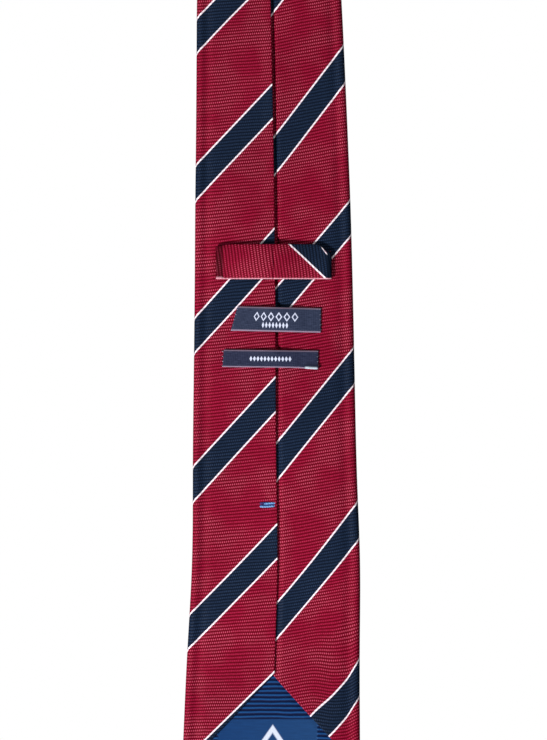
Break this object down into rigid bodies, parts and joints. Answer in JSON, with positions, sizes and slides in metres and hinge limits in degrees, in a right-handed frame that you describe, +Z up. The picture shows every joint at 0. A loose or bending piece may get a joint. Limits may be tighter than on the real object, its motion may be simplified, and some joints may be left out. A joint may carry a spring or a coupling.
{
  "type": "necktie",
  "caption": "Diagonally striped silk necktie, draped over a rail seam side out, with a keeper loop and two woven labels sewn behind its blade.",
  "frame": {"origin": "the axis of the rail that the tie is draped over", "axes": "+Z up along the hanging tie; the blade's seam side faces -Y and the tail's faces +Y; +X is to the right, seen from the blade's seam side"},
  "size_m": [0.0802, 0.0292, 0.7527],
  "materials": {
    "silk": "red, navy and white bias-striped ribbed silk, soft sheen",
    "canvas": "off-white brushed wool interlining",
    "tipping": "navy ribbed lining with a plain mid-blue panel, satin",
    "slip_thread": "twisted silk thread",
    "label_satin": "slate navy woven satin ribbon",
    "label_thread": "fine pale sewing thread",
    "tack_thread": "mid-blue bar tack thread"
  },
  "bodies": {
    "neck": {"neck_silk_arch": "silk", "neck_interlining": "canvas", "neck_slip_stitch": "slip_thread"},
    "blade_upper": {"blade_silk_upper": "silk", "neck_silk_front": "silk", "blade_interlining_upper": "canvas", "blade_slip_stitch_upper": "slip_thread"},
    "blade_lower": {"blade_silk": "silk", "blade_interlining": "canvas", "blade_tipping": "tipping", "blade_slip_stitch": "slip_thread", "blade_bar_tack": "tack_thread", "keeper_stitch_left": "label_thread", "keeper_stitch_right": "label_thread", "upper_label": "label_satin", "upper_label_stitch_left": "label_thread", "upper_label_stitch_right": "label_thread", "lower_label": "label_satin", "lower_label_stitch_left": "label_thread", "lower_label_stitch_right": "label_thread"},
    "keeper": {"keeper_loop": "silk"},
    "tail_upper": {"neck_silk_rear": "silk", "tail_silk_upper": "silk", "tail_interlining_upper": "canvas", "tail_slip_stitch_upper": "slip_thread"},
    "tail_lower": {"tail_silk": "silk", "tail_interlining": "canvas", "tail_tipping": "tipping", "tail_slip_stitch": "slip_thread", "tail_bar_tack": "tack_thread"}
  },
  "joints": [
    {"name": "blade_swing", "type": "hinge", "parent": "neck", "child": "blade_upper", "pos_m": [0, -0.0132, -0.025], "axis": [-1, 0, 0], "range_deg": [0, 90]},
    {"name": "blade_bend", "type": "hinge", "parent": "blade_upper", "child": "blade_lower", "pos_m": [0, -0.0132, -0.32], "axis": [-1, 0, 0], "range_deg": [0, 165]},
    {"name": "tail_swing", "type": "hinge", "parent": "neck", "child": "tail_upper", "pos_m": [0, 0.0132, -0.025], "axis": [1, 0, 0], "range_deg": [0, 90]},
    {"name": "tail_bend", "type": "hinge", "parent": "tail_upper", "child": "tail_lower", "pos_m": [0, 0.0132, -0.32701], "axis": [1, 0, 0], "range_deg": [0, 140]},
    {"name": "keeper_lift", "type": "slide", "parent": "blade_lower", "child": "keeper", "axis": [0, -1, 0], "range_m": [0, 0.004], "stiffness_N_per_m": 20}
  ]
}
